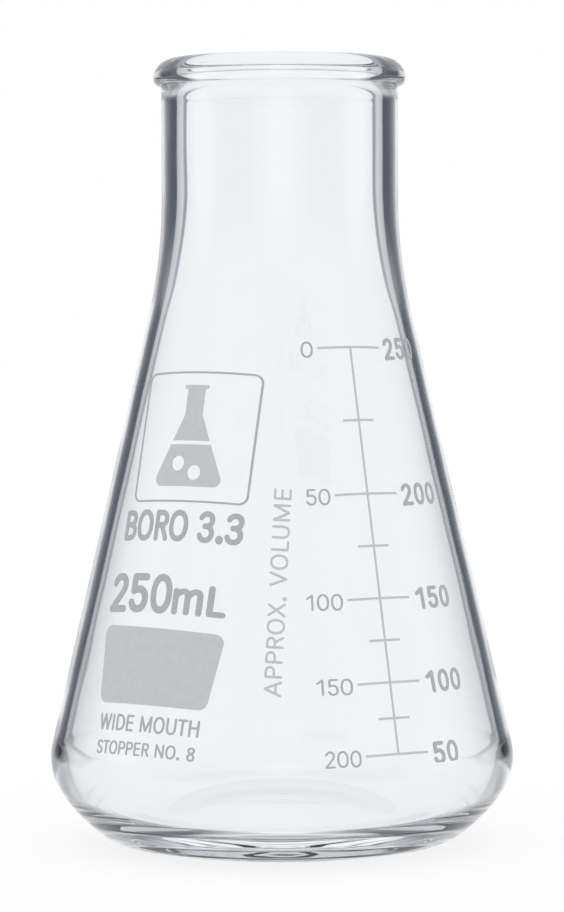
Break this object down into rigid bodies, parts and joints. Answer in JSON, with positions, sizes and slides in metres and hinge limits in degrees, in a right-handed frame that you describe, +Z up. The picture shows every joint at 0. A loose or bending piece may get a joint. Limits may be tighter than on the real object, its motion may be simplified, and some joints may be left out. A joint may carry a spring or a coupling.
{
  "type": "erlenmeyer flask",
  "caption": "Wide-mouth conical glass flask with a beaded rim, a rounded heel and a fired grey graduation print.",
  "frame": {"origin": "centre of the foot ring, on the surface that the flask stands on", "axes": "+Z up the flask's axis; -Y is between the label block and the graduation, the side that the print faces"},
  "size_m": [0.0818, 0.0818, 0.138],
  "materials": {
    "glass": "clear, fire polished",
    "enamel": "fired ceramic enamel, satin"
  },
  "bodies": {
    "root": {"glass_body": "glass", "emblem_frame": "enamel", "emblem_pictogram": "enamel", "glass_type_text": "enamel", "capacity_text": "enamel", "marking_patch": "enamel", "neck_type_text": "enamel", "stopper_text": "enamel", "scale_note_text": "enamel", "graduation_scale": "enamel", "contents_50": "enamel", "contents_100": "enamel", "contents_150": "enamel", "contents_200": "enamel", "contents_250": "enamel", "remaining_0": "enamel", "remaining_50": "enamel", "remaining_100": "enamel", "remaining_150": "enamel", "remaining_200": "enamel"}
  },
  "joints": []
}
